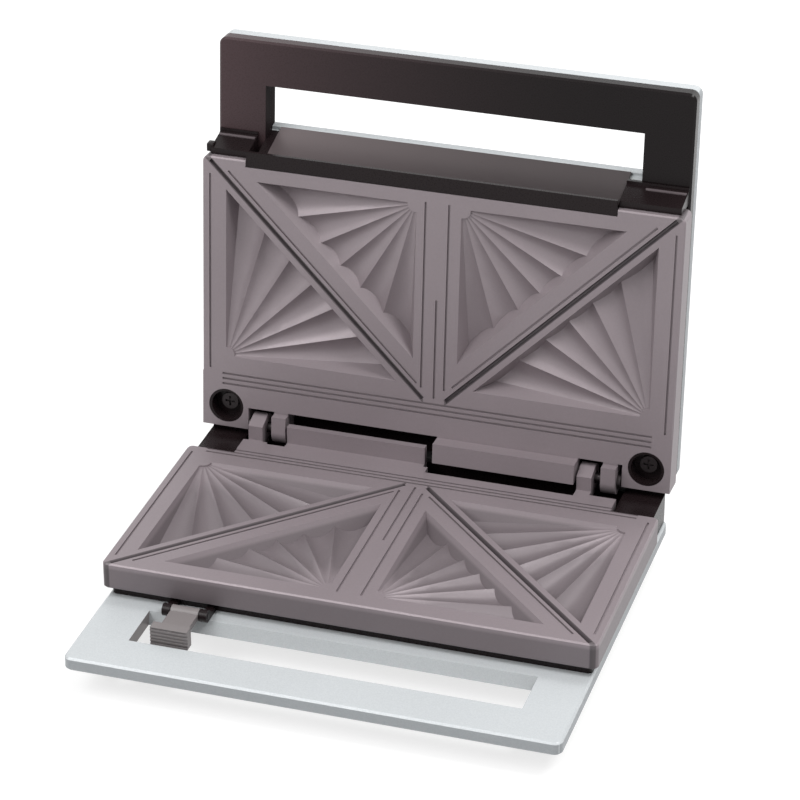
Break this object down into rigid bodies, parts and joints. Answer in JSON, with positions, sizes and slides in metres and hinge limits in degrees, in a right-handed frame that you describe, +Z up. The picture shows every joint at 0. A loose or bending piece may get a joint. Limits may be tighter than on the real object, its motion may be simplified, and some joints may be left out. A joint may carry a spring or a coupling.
{
  "type": "sandwich toaster",
  "caption": "Open sandwich toaster: two hinged silver shells with slim grip handles, shell-fluted triangular plates and a pivoting latch.",
  "frame": {"origin": "on the surface the toaster stands on, below the middle of the bounding box with the lid open", "axes": "+X to the right seen from the front, +Y from the front handle to the hinge at the back, +Z up"},
  "size_m": [0.245, 0.2449, 0.2412],
  "materials": {
    "silver_paint": "satin metallic silver",
    "black_plastic": "matt black",
    "dark_frame": "glossy brown-black",
    "satin_wall": "satin grey",
    "plate_coating": "satin warm grey non-stick coating",
    "foot_rubber": "matt black",
    "latch_grey": "satin grey",
    "red_lens": "glossy red",
    "green_lens": "glossy green",
    "ceramic": "matt cream ceramic and phenolic",
    "steel": "plain steel"
  },
  "bodies": {
    "base": {"base_shell": "silver_paint", "base_bottom_cover": "black_plastic", "base_inner_frame": "dark_frame", "lower_plate": "plate_coating", "lower_heater": "steel", "lower_reflector": "steel", "lower_plate_screws": "steel", "lower_reflector_screws": "steel", "cover_screws": "steel", "feet": "foot_rubber", "thermostat": "ceramic", "thermal_fuse": "ceramic", "terminal_block": "ceramic", "cord_gland": "foot_rubber", "hinge_pin_left": "steel", "hinge_pin_right": "steel", "latch_pin": "steel"},
    "lid": {"lid_shell": "silver_paint", "lid_inner_frame": "dark_frame", "grip_liner": "satin_wall", "upper_plate": "plate_coating", "upper_heater": "steel", "upper_reflector": "steel", "upper_plate_screws": "steel", "upper_reflector_screws": "steel", "lid_screws": "steel", "power_lamp": "red_lens", "ready_lamp": "green_lens", "lamp_holder": "ceramic"},
    "latch": {"latch": "latch_grey"}
  },
  "joints": [
    {"name": "lid_hinge", "type": "hinge", "parent": "base", "child": "lid", "pos_m": [0, 0.07788, 0.04255], "axis": [1, 0, 0], "range_deg": [0, 94.2]},
    {"name": "latch_pivot", "type": "hinge", "parent": "base", "child": "latch", "pos_m": [-0.077, -0.07352, 0.0241], "axis": [-1, 0, 0], "range_deg": [0, 90]}
  ]
}
